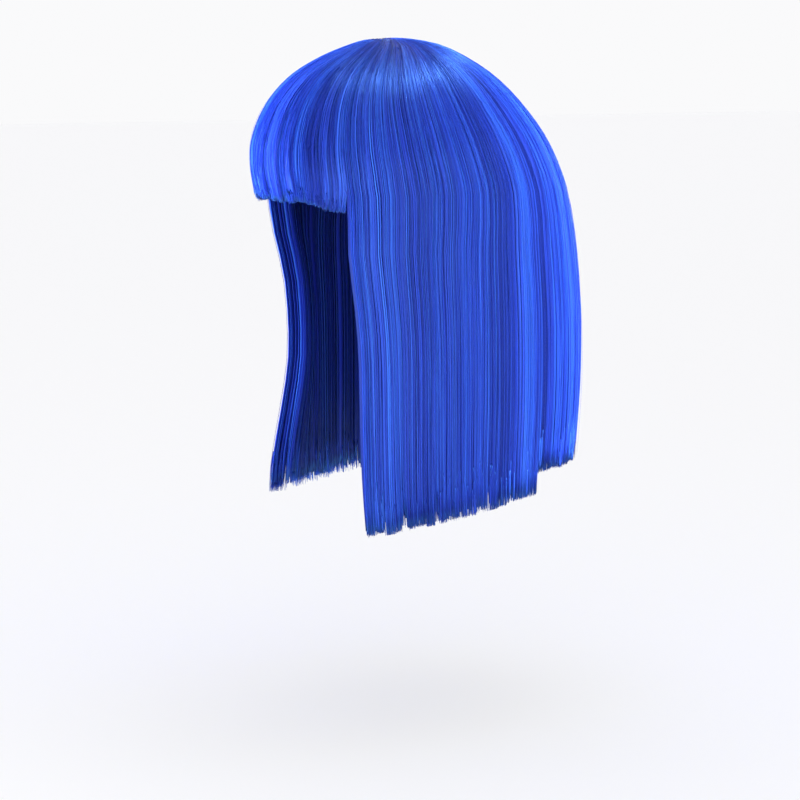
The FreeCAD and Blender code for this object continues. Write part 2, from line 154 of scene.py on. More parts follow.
def new_object(name, vertices, quads, uv, tint=None, normals=None):
    """Mesh object in metres from points in millimetres and faces of four corners, or three and -1."""
    mesh = bpy.data.meshes.new(name)
    mesh.vertices.add(len(vertices))
    mesh.vertices.foreach_set("co", (np.asarray(vertices, np.float32) * MM).ravel())
    quads = np.asarray(quads, np.int32)
    kept = quads.ravel() >= 0
    corners = quads.ravel()[kept]
    sizes = np.where(quads[:, 3] < 0, 3, 4)
    mesh.loops.add(len(corners))
    mesh.loops.foreach_set("vertex_index", corners)
    mesh.polygons.add(len(quads))
    mesh.polygons.foreach_set("loop_start", (np.cumsum(sizes) - sizes).astype(np.int32))
    mesh.polygons.foreach_set("use_smooth", np.full(len(quads), True))
    mesh.uv_layers.new(name="strand").data.foreach_set("uv", np.asarray(uv, np.float32)[corners].ravel())
    if tint is not None:
        colour = mesh.color_attributes.new("tint", "FLOAT_COLOR", "POINT")
        colour.data.foreach_set("color", np.asarray(tint, np.float32).ravel())
    if normals is not None:
        layer = mesh.attributes.new("custom_normal", "FLOAT_VECTOR", "CORNER")
        layer.data.foreach_set("vector", np.asarray(normals, np.float32).reshape(-1, 3)[kept].ravel())
    mesh.update(calc_edges=True)
    return placed(name, mesh)


ENDS = {3: [[0, 1, 2, -1]], 6: [[0, 1, 2, 3], [3, 4, 5, 0]]}


def sweep(paths, normals, widths, thicks, sides, tints=None, soften=1.5):
    """Closed lens-shaped tubes along paths (n, m, 3), flat against their normals.

    Gives points, faces, texture places, tints and shading normals; soften is how far the normals turn
    towards the lock's face.
    """
    n, m, _ = paths.shape
    along = unit(np.gradient(paths, axis=1))
    across = unit(np.cross(along, normals))
    upward = unit(np.cross(across, along))
    turn = 2 * np.pi * np.arange(sides) / sides + (np.pi / 2 if sides == 3 else np.pi / 6)
    ring_x, ring_z = np.cos(turn), np.sin(turn)
    points = (paths[:, :, None] + across[:, :, None] * (widths / 2)[..., None, None] * ring_x[:, None]
              + upward[:, :, None] * (thicks / 2)[..., None, None] * ring_z[:, None])

    def lens_normal(angle):
        side = thicks[..., None] * np.cos(angle)
        top = widths[..., None] * np.sin(angle)
        long = np.maximum(np.hypot(side, top), 1e-9)
        return side / long, top / long

    corner_side, corner_top = lens_normal(turn)
    _, face_top = lens_normal(turn + np.pi / sides)
    next_side, next_top = np.roll(corner_side, -1, 2), np.roll(corner_top, -1, 2)
    index = np.arange(n * m * sides).reshape(n, m, sides)
    after = np.roll(index, -1, axis=2)
    walls = np.stack([index[:, :-1], index[:, 1:], after[:, 1:], after[:, :-1]], -1).reshape(-1, 4)
    shading = []
    near, far = slice(None, -1), slice(1, None)
    for rows, sideways, up in ((near, corner_side, corner_top), (far, corner_side, corner_top),
                               (far, next_side, next_top), (near, next_side, next_top)):
        lifted = up[:, rows] + soften * face_top[:, rows]
        shading.append(unit(across[:, rows, None] * sideways[:, rows, :, None]
                            + upward[:, rows, None] * lifted[..., None]))
    shading = [np.stack(shading, -2).reshape(-1, 4, 3)]
    quads = [walls]
    for end, fours in ((0, ENDS[sides]), (m - 1, [four[2::-1] + four[3:] if four[3] < 0 else four[::-1]
                                                   for four in ENDS[sides]])):
        for four in fours:
            cover = index[:, end][:, four]
            cover[:, np.array(four) < 0] = -1
            quads.append(cover)
            out = along[:, end] * (1 if end else -1)
            shading.append(np.repeat(out[:, None], 4, axis=1))
    shift = rng.random((n, 1, 1)) * 500
    u = widths[..., None] * 0.5 * ring_x + shift * 1.7
    v = np.broadcast_to(run_along(paths)[..., None], u.shape) + shift
    uv = np.stack([u, v], -1).reshape(-1, 2)
    colour = None
    if tints is not None:
        colour = np.ones((n, m, sides, 4))
        colour[..., :3] = np.clip(tints, 0, 1)[:, None, None]
        colour = colour.reshape(-1, 4)
    return points.reshape(-1, 3), np.concatenate(quads), uv, colour, np.concatenate(shading)


def joined(parts):
    """Several swept lots as one set of arrays."""
    start, lots = 0, []
    for points, faces, uv, tint, normals in parts:
        lots.append((points, np.where(faces < 0, -1, faces + start), uv, tint, normals))
        start += len(points)
    return [np.concatenate(group) if group[0] is not None else None for group in zip(*lots)]


# ---------------------------------------------------------------- hair
# thickness of the hair at the crown and below the head, and its least height above the head form
CROWN_DEPTH, FULL_DEPTH = 3.2, 15.0
HAIR_IN = 2.3
# gaps in the cut edge: place along the head, half width and height
NOTCHES = ((-48, 2.6, 14), (-24, 2.0, 12), (9, 1.6, 6), (36, 1.8, 7), (96, 1.5, 6), (118, 2.0, 8))
# points of a strand over the crown and down its fall, and of the path it is cut from
CROWN_POINTS = 17
FALL_POINTS = 13
FINE = 160


def wander(count, points, reach, turns):
    """Smooth random sideways drift for each of count paths, none at the root and full from seven tenths of
    the way to the cut.
    """
    t = np.linspace(0, 1, points)
    total = np.zeros((count, points))
    for k in (1, 2):
        phase = rng.random((count, 1)) * 2 * np.pi
        pace = turns * k * (0.6 + 0.8 * rng.random((count, 1)))
        total += np.sin(phase + 2 * np.pi * pace * t) * rng.normal(0, 1 / k ** 2, (count, 1))
    return total * reach * smoothstep(0.1, 0.7, t)


def hair_depth(s, share):
    """Depth below the outer surface for a share of the hair's thickness."""
    return share * (CROWN_DEPTH + (FULL_DEPTH - CROWN_DEPTH) * smoothstep(0, HEAD_LEVEL, s))


def scattered(low, high, count):
    """One plan angle in each of count even steps."""
    return low + (high - low) * (np.arange(count) + rng.random(count)) / count


def strands(phi, share, root, mirror, clump, section, reach, ends):
    """Centre lines and normals of strands at plan angles phi; share is how deep they lie."""
    count = len(phi)
    s = root[:, None] + (LAST - root[:, None]) * np.linspace(0, 1, FINE) ** 1.1
    drift = np.where(phi[:, None] < 0, 1 + (EDGE_TOP / EDGE_LOW - 1) * front_spread(s), 1)
    angle = phi[:, None] if section == "fringe" else phi[:, None] * drift
    angle = np.broadcast_to(angle, s.shape)
    behind_edge = (phi[:, None] + EDGE_LOW) if section == "curtain" else 1.0
    if section == "curtain" and mirror:
        drawn_back = 0.2 * smoothstep(6.2, 8.8, s) * (1 - 1.15 * smoothstep(9.6, 11.9, s))
        angle = angle + drawn_back * (1 - smoothstep(0, 0.4, behind_edge))
    pinch = smoothstep(HEAD_LEVEL, LAST, s) * clump["pinch"][:, None]
    angle = angle + (clump["centre"] - phi)[:, None] * pinch
    outer = hair_surface(angle, s)
    normal = hair_normal(angle, s)
    far = from_whorl(outer)
    sunk = 3.0 * (1 - smoothstep(2, 11, far))
    rooted = 4.5 * (1 - smoothstep(0, 28, far - far[:, :1])) * (root[:, None] > 0.9)
    depth = hair_depth(s, share[:, None]) + np.minimum(sunk + rooted, 5.0)
    depth = np.minimum(depth, 2.5 + 130 * np.maximum(behind_edge, 0))
    path = outer - normal * depth[..., None]
    if section == "fringe":
        inward = 8 - 5 * smoothstep(30, 68, np.abs(path[..., 0]))
        curl = np.clip((-80 - path[..., 2]) / 26, 0, 1.2) ** 2 * inward
        thinned = 0.62 * depth * smoothstep(60, 100, -path[..., 2])
        path = path + normal * (thinned - curl)[..., None]
        bottom = FRINGE_Z - 6 * smoothstep(40, 72, np.abs(path[:, -1, 0])) + ends
    else:
        edge = path[:, -12, 1]
        bottom = cut_height(edge) + ends + notches(edge + (9 if mirror else 0))
    centre, facing = resampled(path, normal, bottom)
    ahead = unit(np.gradient(centre, axis=1))
    facing = unit(facing - ahead * (facing * ahead).sum(-1, keepdims=True))
    side = np.cross(ahead, facing)
    steps = centre.shape[1]
    sway = clump["sway"][:, :steps] + wander(count, steps, reach, 1.2)
    lift = clump["lift"][:, :steps] + wander(count, steps, reach * 0.5, 0.9)
    centre = centre + side * sway[..., None] + facing * lift[..., None]
    centre = clear_of_cap(centre)
    if mirror:
        centre = centre * np.array([-1, 1, 1])
        facing = facing * np.array([-1, 1, 1])
    # painted shade: the third value is the strand's depth share, weakened near the curtain's front edge,
    # which is not in shadow
    with_painted_shade = smoothstep(-0.02, 0.22, behind_edge)[:, 0] if section == "curtain" else 1.0
    return centre, facing, depth[:, FINE // 2] / FULL_DEPTH * with_painted_shade


def clear_of_cap(points):
    """Points of the hair moved out of the cap, each strand to its own height above it."""
    from_middle = as_round(points)
    far = np.linalg.norm(from_middle, axis=-1, keepdims=True)
    least = HEAD_RADIUS + HAIR_IN + 0.5 * rng.random((len(points), 1, 1))
    return np.where(points[..., 2:] > -HEAD_RADIUS, as_head(from_middle * np.maximum(least / far, 1)), points)


def notches(y):
    """Small gaps in the cut edge: where they are along the head, half width and height."""
    total = 0 * y
    for place, half_width, high in NOTCHES:
        total = total + high * np.maximum(1 - np.abs(y - place) / half_width, 0)
    return total


def front_spread(s):
    """How far the front edge still follows the temple, from the head down."""
    return 1 - smoothstep(HEAD_LEVEL - 0.2, HEAD_LEVEL + 2.6, s) ** 0.6


def resampled(path, normal, bottom):
    """Paths cut at their bottom height, with more points over the crown than down the fall."""
    count = len(path)
    total = CROWN_POINTS + FALL_POINTS
    centre = np.empty((count, total, 3))
    facing = np.empty((count, total, 3))
    for k in range(count):
        run = run_along(path[k])
        height = path[k, :, 2]
        end = np.interp(-bottom[k], -height, run)
        bend = min(np.interp(-LEVELS[HEAD_LEVEL, 0], -height, run), end * 0.62)
        where = np.concatenate([np.linspace(0, bend, CROWN_POINTS, endpoint=False),
                                np.linspace(bend, end, FALL_POINTS)])
        for axis in range(3):
            centre[k, :, axis] = np.interp(where, run, path[k, :, axis])
            facing[k, :, axis] = np.interp(where, run, normal[k, :, axis])
    return centre, unit(facing)


def clumps(phi, spread):
    """Locks that strands gather into: their centre, drift, length and tint, for each strand."""
    low, high = spread
    count = max(2, int((high - low) * MM_PER_ANGLE / LOCK_SIZE))
    edges = np.linspace(low, high, count + 1)
    gap = edges[1] - edges[0]
    middle = (edges[:-1] + edges[1:]) / 2 + rng.normal(0, 0.18, count) * gap
    owner = np.clip(np.searchsorted(edges, phi + rng.normal(0, 0.12, len(phi)) * gap) - 1, 0, count - 1)
    sway = wander(count, STEPS, LOCK_DRIFT, 0.7)
    rise = smoothstep(0.15, 0.6, np.linspace(0, 1, STEPS))
    lift = wander(count, STEPS, LOCK_DRIFT * 0.4, 0.5) + rng.normal(0, 0.4, (count, 1)) * rise
    return {"centre": middle[owner], "pinch": (0.04 + 0.2 * rng.random(count) ** 2)[owner],
            "sway": sway[owner], "lift": lift[owner], "length": rng.normal(0, 0.8, count)[owner],
            "tint": rng.random(count)[owner]}


# kinds of strand: width, thickness, sides, cover of the surface, depth shares, share rooted late,
# how far above the cut they end and how much that varies, sideways drift
KINDS = (
    (6.5, 1.4, 6, 2.0, (0.4, 0.8), 0.0, 9.0, 1.5, 0.2),
    (3.0, 0.9, 6, 2.6, (0.08, 0.25), 0.25, 4.5, 2.0, 0.2),
    (2.6, 0.8, 6, 1.6, (0.78, 0.96), 0.2, 9.0, 2.0, 0.2),
    (0.9, 0.42, 3, 4.2, (0.0, 0.1), 0.5, 0.6, 0.9, 0.2),
    (0.9, 0.45, 3, 2.2, (0.9, 1.02), 0.4, 8.0, 1.5, 0.2),
    (0.3, 0.26, 3, 0.6, (-0.06, 0.04), 0.6, 0.3, 1.6, 0.25),
    (0.22, 0.2, 3, 0.04, (-0.08, 0.0), 0.9, 0.3, 4.0, 1.6),
)
STEPS = CROWN_POINTS + FALL_POINTS
TIP_STEPS = 6
# width of the hair for each radian of plan angle, width and drift of a lock, and how near the whorl
# strands begin to crowd
MM_PER_ANGLE = 105.0
LOCK_SIZE, LOCK_DRIFT = 6.0, 0.36
CROWDED = 78


def section_parts(spread, mirror=False, section="long"):
    """All kinds of strand in one section of hair, as swept arrays."""
    locks, fine = [], []
    low, high = spread
    for width, thick, sides, cover, depths, rooted, short, vary, drift in KINDS:
        lap = width * 0.4 / MM_PER_ANGLE
        inset = 0.06 if section == "curtain" and width > 5 else 0.0
        first, past = (low + inset, high + lap) if section == "curtain" else (low - lap, high + lap)
        if section == "fringe":
            first, past = low, high
        count = int((past - first) * MM_PER_ANGLE / width * cover)
        phi = scattered(first, past, count)
        share = rng.uniform(*depths, count)
        starts_late = rng.random(count) < rooted
        nearest = rng.uniform(0.12, 0.85, count) + 0.9 * smoothstep(0.2, 0.8, share)
        root = np.where(starts_late, rng.uniform(0.9, 4.2, count), nearest)
        clump = clumps(phi, spread)
        ends = short * 0.5 * (1 + rng.random(count)) + np.abs(rng.normal(0, vary, count)) + clump["length"]
        ends = np.maximum(ends, -0.6)
        centre, facing, sunk = strands(phi, share, root, mirror, clump, section, drift, ends)
        crowd = np.clip(from_whorl(centre) / CROWDED, 0.1, 1) ** 0.85
        size = rng.uniform(0.7, 1.3, (count, 1)) * crowd
        along = np.linspace(0, 1, STEPS)
        taper = 1 - (0.5 if sides == 3 else 0.35) * smoothstep(0.9, 1, along)
        # tints: random tone by strand, tone by lock, and painted shade by depth
        tints = np.stack([rng.random(count), clump["tint"], sunk], 1)
        lot = sweep(centre, facing, width * size * taper, thick * size ** 0.5 * taper, sides, tints)
        (locks if sides == 6 else fine).append(lot)
    fine.append(tip_part(spread, mirror, section))
    return locks, fine


def tip_part(spread, mirror, section):
    """Fine ends of the locks, which make the cut edge."""
    low, high = spread
    width, cover = 0.8, 7.0
    count = int((high - low) * MM_PER_ANGLE / width * cover)
    phi = scattered(low, high, count)
    clump = clumps(phi, spread)
    # painted light: the tips' lowest tone is raised, most on the long sections, for the light that deep tips
    # lose in shadow
    ragged, uneven, painted_light_tone = (1.4, 0.7, 0.2) if section == "fringe" else (0.9, 1.3, 0.6)
    ends = np.maximum(np.abs(rng.normal(0, ragged, count)) + clump["length"] * uneven, -0.6)
    root = np.full(count, 0.5)
    share = rng.uniform(0.0, 1.0, count) ** 1.6
    centre, facing, sunk = strands(phi, share, root, mirror, clump, section, 0.2, ends)
    last = slice(STEPS - 3, STEPS)
    start = rng.uniform(0.0, 1.4, count)
    centre, facing = (spread_out(rows[:, last], start, TIP_STEPS) for rows in (centre, facing))
    taper = 1 - 0.6 * np.linspace(0, 1, TIP_STEPS) ** 2
    size = rng.uniform(0.7, 1.3, (count, 1)) * taper
    # tints: random tone lifted as painted light, tone by lock, and a fifth of the painted shade by depth
    tints = np.stack([rng.uniform(painted_light_tone, painted_light_tone + 0.4, count), clump["tint"], sunk * 0.2], 1)
    return sweep(centre, unit(facing), width * size, 0.5 * size, 3, tints, soften=4)


def spread_out(rows, start, steps):
    """Rows (n, k, 3) read at evenly spread steps, each from its own start."""
    last = rows.shape[1] - 1
    place = start[:, None] + (last - start)[:, None] * np.linspace(0, 1, steps)
    k = np.minimum(place.astype(int), last - 1)
    u = (place - k)[..., None]
    each = np.arange(len(rows))[:, None]
    return rows[each, k] * (1 - u) + rows[each, k + 1] * u


def hair_piece(name, parts, *nodes):
    piece = new_object(name, *joined(parts))
    piece.data.materials.append(hair_material)
    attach(piece, "cap")
    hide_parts(*nodes)
    return piece


def crown_sprouts():
    """Fine hair implanted in the skin top, rising over the edge of the whorl."""
    parts = []
    steps = 10
    for count, width, thick, sides, far in ((420, 0.6, 0.4, 3, 3.4), (70, 1.7, 0.5, 6, 2.6)):
        phi = rng.random(count) * 2 * math.pi
        end = hair_surface(phi, rng.uniform(far - 0.8, far, count))
        x, y = (WHORL[:2] + rng.uniform(0.6, 6.5, (count, 1)) * unit(end[:, :2] - WHORL[:2])).T
        start = np.stack([x, y, head_height(x, y, 1.0)], -1)
        middle = hair_surface(phi, rng.uniform(1.0, 1.6, count)) + (0, 0, 0.2)
        t = np.linspace(0, 1, steps)[:, None]
        start, middle, end = start[:, None], middle[:, None], end[:, None]
        line = clear_of_cap((1 - t) ** 2 * start + 2 * t * (1 - t) * middle + t ** 2 * end)
        line[:, 0] = start[:, 0]
        facing = unit(line - (0, -10, -60))
        size = rng.uniform(0.7, 1.2, (count, 1)) * np.array([0.5, .8, 1, 1, 1, 1, 1, 0.9, 0.6, 0.2])
        tints = np.stack([rng.random(count), rng.random(count), 0 * phi], 1)
        parts.append(sweep(line, facing, width * size, thick * size, sides, tints))
    return parts


def nape_parts():
    """Under layer from the lowest wefts: it leaves the cap and hangs straight down."""
    parts = []
    for width, thick, sides, cover in ((4.2, 1.0, 6, 2.4), (2.2, 0.8, 6, 2.4), (0.9, 0.5, 3, 3.0)):
        reach = 175
        count = int(reach / width * cover)
        angle = math.radians(90) + np.radians(rng.uniform(-61, 61, count))
        depth = rng.uniform(0, 9, count)
        t = np.linspace(0, 1, STEPS)
        bottom = -289 + np.abs(rng.normal(0, 2.0, count))
        top = rng.uniform(-136, -114, count)
        height = top[:, None] + (bottom - top)[:, None] * t
        below = np.sqrt(np.maximum(1 - ((top + HEAD_RADIUS) / (HEAD_RADIUS + 4.5)) ** 2, 0))
        start = np.stack([81.7 * below * np.cos(angle), 99.5 * below * np.sin(angle)], -1)
        end = np.stack([(73 - depth) * np.cos(angle), (97 - depth) * np.sin(angle)], -1)
        out = smoothstep(-0.1, 0.35, t)[None, :, None]
        plan = start[:, None] * (1 - out) + end[:, None] * out
        centre = np.concatenate([plan, height[..., None]], -1)
        outward = unit(np.stack([np.cos(angle), np.sin(angle), 0 * angle], -1))
        facing = outward[:, None] * np.ones((1, STEPS, 1))
        side = np.cross(np.array([0, 0, -1.0]), facing)
        centre = centre + side * wander(count, STEPS, 0.5, 1.0)[..., None]
        size = rng.uniform(0.7, 1.3, (count, 1)) * np.ones((1, STEPS))
        # tints: random tone by strand, random tone by lock, and nearly full painted shade, as this under
        # layer lies deepest
        tints = np.stack([rng.random(count), rng.random(count), np.full(count, 0.9)], 1)
        parts.append(sweep(centre, facing, width * size, thick * size, sides, tints))
    return parts


# ---------------------------------------------------------------- materials
def material(name, colour, roughness):
    """Principled material; returns it with its node tree and shader."""
    made = bpy.data.materials.new(name)
    made.use_nodes = True
    shader = made.node_tree.nodes["Principled BSDF"]
    shader.inputs["Base Color"].default_value = (*colour, 1)
    shader.inputs["Roughness"].default_value = roughness
    return made, made.node_tree, shader


def feed(tree, made, values):
    """Give a node's inputs their values, by name or number: a socket is linked and a constant is set."""
    for name, value in values.items():
        if isinstance(value, bpy.types.NodeSocket):
            tree.links.new(value, made.inputs[name])
        else:
            made.inputs[name].default_value = value


def node(tree, kind, values, **settings):
    """Outputs of a new node with its inputs' values and its own settings."""
    made = tree.nodes.new("ShaderNode" + kind)
    for name, value in settings.items():
        setattr(made, name, value)
    feed(tree, made, values)
    return made.outputs


def ramp(tree, source, stops):
    """Colour ramp from a value; stops are position and colour."""
    made = tree.nodes.new("ShaderNodeValToRGB")
    made.color_ramp.elements[0].position, made.color_ramp.elements[0].color = stops[0]
    made.color_ramp.elements[1].position, made.color_ramp.elements[1].color = stops[-1]
    for position, colour in stops[1:-1]:
        made.color_ramp.elements.new(position).color = colour
    tree.links.new(source, made.inputs["Fac"])
    return made.outputs["Color"]


def make_hair_material():
    """Blue fibre: lighter or darker by strand, by lock and in streaks, and darker deep in the hair as painted
    shade.
    """
    made, tree, shader = material("blue_fibre", (0.01, 0.03, 0.45), 0.36)
    tint = node(tree, "Attribute", {}, attribute_name="tint")[0]
    parts = node(tree, "SeparateColor", {"Color": tint})
    uv = node(tree, "UVMap", {}, uv_map="strand")[0]
    noises = []
    for scale, detail in (((3.2, 0.03, 1), 3.0), ((0.3, 0.006, 1), 1.0)):
        stretched = node(tree, "Mapping", {"Vector": uv, "Scale": scale})[0]
        noises.append(node(tree, "TexNoise", {"Vector": stretched, "Scale": 1.0, "Detail": detail})[0])
    streaks, bands = noises
    total = node(tree, "Math", {0: parts["Red"], 1: 0.42}, operation="MULTIPLY")[0]
    for source, weight in ((parts["Green"], 0.34), (streaks, 0.22), (bands, 0.2)):
        total = node(tree, "Math", {0: source, 1: weight, 2: total}, operation="MULTIPLY_ADD")[0]
    colour = ramp(tree, total, [
        (0.2, (0.006, 0.010, 0.16, 1)), (0.45, (0.014, 0.030, 0.38, 1)),
        (0.68, (0.022, 0.058, 0.57, 1)), (0.95, (0.05, 0.19, 0.92, 1))])
    # painted shade: the tint's blue share, how deep a strand lies, mixes the colour towards dark navy
    inward = node(tree, "MapRange", {"Value": parts["Blue"], "From Min": 0.1, "From Max": 0.85,
                                     "To Min": 0.0, "To Max": 0.75})[0]
    with_painted_shade = node(tree, "Mix", {"Factor": inward, 6: colour, 7: (0.006, 0.008, 0.11, 1)}, data_type="RGBA")[2]
    bump = node(tree, "Bump", {"Height": streaks, "Strength": 0.35, "Distance": 0.0002})[0]
    feed(tree, shader, {
        "Base Color": with_painted_shade, "Normal": bump, "Specular IOR Level": 0.5, "Specular Tint": (0.3, 0.55, 1.0, 1),
        "Anisotropic": 0.5, "Sheen Weight": 0.2, "Sheen Roughness": 0.25, "Sheen Tint": (0.08, 0.35, 1.0, 1)})
    return made


hair_material = make_hair_material()


# ---------------------------------------------------------------- hair pieces
def hair_section(name, node_name, spread, mirror=False, section="long"):
    locks, fine = section_parts(spread, mirror, section)
    hair_piece(f"{name}_locks", locks, node_name)
    hair_piece(f"{name}_strands", fine, node_name)


half = sum(FRINGE) / 2
hair_section("fringe_right", "hair_fringe", (FRINGE[0], half), section="fringe")
hair_section("fringe_left", "hair_fringe", (half, FRINGE[1]), section="fringe")
for side_name, flipped in (("left", False), ("right", True)):
    for label, spread in (("curtain", CURTAIN), ("side", SIDE), ("back", BACK)):
        hair_section(f"{label}_{side_name}", f"hair_{label}_{side_name}", spread, flipped, label)
half = sum(MIDDLE) / 2
hair_section("back_middle_left", "hair_back_middle", (MIDDLE[0], half))
hair_section("back_middle_right", "hair_back_middle", (half, MIDDLE[1]))
hair_piece("nape_hair", nape_parts(), "hair_nape")
hair_piece("crown_sprouts", crown_sprouts())


# -------------------------------------------------------- cap: places on the head form and the nape cone
RIM_Y = (-130, -64, -46, -18, 14, 36, 56, 130)
RIM_Z = (-52, -52, -84, -84, -94, -128, -150, -150)
PANEL_HALF = 36
# middle of the cloth's thickness and of the bands on it, outwards from the head form
CLOTH_OFFSET, BAND_OFFSET = 0.45, 0.95
HAIRLINE_Z, HAIRLINE_WIDTH, TEMPLE_Y = -52, 10, -64
TAB_FRONT, TAB_BACK, TAB_TOP, TAB_LENGTH, TAB_TOE = -46, -18, -84.5, 29.5, 7
NAPE_Z, NAPE_AXIS_Y, NAPE_RADIUS, NAPE_SLOPE = -150, 28, 49.5, 0.504
SIDES = (("left", 1), ("right", -1))


def on_head(direction, offset):
    """Point out along a direction from the middle of the head form, offset from its skin."""
    radius = HEAD_RADIUS + np.asarray(offset)[..., None]
    return as_head(unit(direction) * radius)


def head_normal(points):
    x, y, z = np.moveaxis(points, -1, 0)
    return unit(np.stack([x / NARROW ** 2, y, z + HEAD_RADIUS], -1))


def head_side(y, z, sign, offset):
    """Point of the head form over a place in the side view."""
    x = NARROW * np.sqrt(np.maximum((HEAD_RADIUS + offset) ** 2 - y ** 2 - (z + HEAD_RADIUS) ** 2, 0))
    return np.stack([sign * x, y + 0 * x, z + 0 * x], -1)


def nape_point(angle, z, offset):
    """Point of the nape's cone: angle in degrees from the back towards the wearer's left, offset inwards."""
    angle = np.radians(angle)
    radius = NAPE_RADIUS + (z - NAPE_Z) * NAPE_SLOPE - offset + 0 * angle
    return np.stack([radius * np.sin(angle), NAPE_AXIS_Y + radius * np.cos(angle), z + 0 * radius], -1)


def nape_inward(angle):
    angle = np.radians(angle)
    return unit(np.stack([-np.sin(angle), -np.cos(angle), NAPE_SLOPE + 0 * angle], -1))


def evenly(points, spacing=None, count=None):
    """A line of points read at even steps along it."""
    run = run_along(points)
    count = count or max(2, int(round(run[-1] / spacing)) + 1)
    where = np.linspace(0, run[-1], count)
    return np.stack([np.interp(where, run, points[:, k]) for k in range(3)], -1)


# ---------------------------------------------------------------- cap: lots of mesh
# half of a woven band's section, from the left edge over the face: share of width, share of thickness
BAND_FACE = ((-1, 0.2), (-0.98, 0.5), (-0.9, 0.5), (-0.86, 0.32), (0, 0.32), (0.86, 0.32), (0.9, 0.5),
             (0.98, 0.5), (1, 0.2))
FLAT_FACE = ((-1, 0.25), (-0.97, 0.5), (-0.5, 0.5), (0, 0.5), (0.5, 0.5), (0.97, 0.5), (1, 0.25))


def strip(path, normal, width, thick, face=BAND_FACE):
    """One closed flat band along a path (m, 3), facing its normals; width may change along it."""
    m = len(path)
    along = unit(np.gradient(path, axis=0))
    across = unit(np.cross(along, normal))
    upward = unit(np.cross(across, along))
    face = np.array(face)
    profile = np.concatenate([face, face[::-1] * (1, -1)])
    k, half = len(profile), len(face)
    width = np.broadcast_to(width, m)[:, None, None]
    points = (path[:, None] + across[:, None] * width / 2 * profile[:, 0, None]
              + upward[:, None] * thick * profile[:, 1, None])
    index = np.arange(m * k).reshape(m, k)
    after = np.roll(index, -1, axis=1)
    walls = np.stack([index[:-1], after[:-1], after[1:], index[1:]], -1).reshape(-1, 4)
    ends = []
    for row, turn in ((index[0], -1), (index[-1], 1)):
        for j in range(half - 1):
            ends.append([row[j], row[j + 1], row[k - 2 - j], row[k - 1 - j]][::turn])
    run = run_along(path)[:, None]
    u = width[..., 0] / 2 * profile[:, 0] + 0 * run
    uv = np.stack([u, np.broadcast_to(run, u.shape)], -1).reshape(-1, 2)
    return points.reshape(-1, 3), np.concatenate([walls, np.array(ends)]), uv


def stitches(path, normal, long=2.2, gap=1.1, thread=0.42, zigzag=0.0):
    """Row of thread stitches lying on a path; zigzag is how far they lean from side to side."""
    total = np.linalg.norm(np.diff(path, axis=0), axis=1).sum()
    count = max(1, int(total / (long + gap)))
    steps = 4
    fine = evenly(path, count=count * 12 + 1)
    facing = unit(evenly(normal, count=count * 12 + 1) if len(normal) == len(path) else normal)
    share = np.linspace(0, long / (long + gap), steps)
    where = (np.arange(count)[:, None] + share + 0.1) * 12
    low = np.minimum(where.astype(int), count * 12 - 1)
    mix = (where - low)[..., None]
    line = fine[low] * (1 - mix) + fine[low + 1] * mix
    up = facing[low]
    side = np.cross(unit(np.gradient(line, axis=1)), up)
    lean = zigzag * np.linspace(-1, 1, steps) * np.where(np.arange(count) % 2, 1, -1)[:, None]
    rise = np.array([-0.35, 0.12, 0.12, -0.35]) * thread
    line = line + side * lean[..., None] + up * rise[:, None]
    size = np.full((count, steps), thread) * (0.7, 1, 1, 0.7)
    return sweep(line, up, size, size * 0.8, 6)


def composed(name, lots, *nodes):
    """One object from (lot, material) pairs, which stands for the CAD nodes."""
    materials = list(dict.fromkeys(made for _, made in lots))
    slots = np.concatenate([np.full(len(lot[1]), materials.index(made)) for lot, made in lots])
    piece = new_object(name, *joined([(*lot[:3], None, None) for lot, _ in lots]))
    for made in materials:
        piece.data.materials.append(made)
    piece.data.polygons.foreach_set("material_index", slots.astype(np.int32))
    if nodes:
        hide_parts(*nodes)
    return piece


def on_cap(name, lots, slot, *nodes, body="cap"):
    """The same, riding on a body; slot is not used."""
    piece = composed(name, lots, *nodes)
    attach(piece, body)
    return piece


# ---------------------------------------------------------------- cap: net panels
NET_PITCH, NET_THREAD, NET_LOW, NET_HIGH = 2.5, 0.8, 0.05, 0.5
NET_REACH = 170


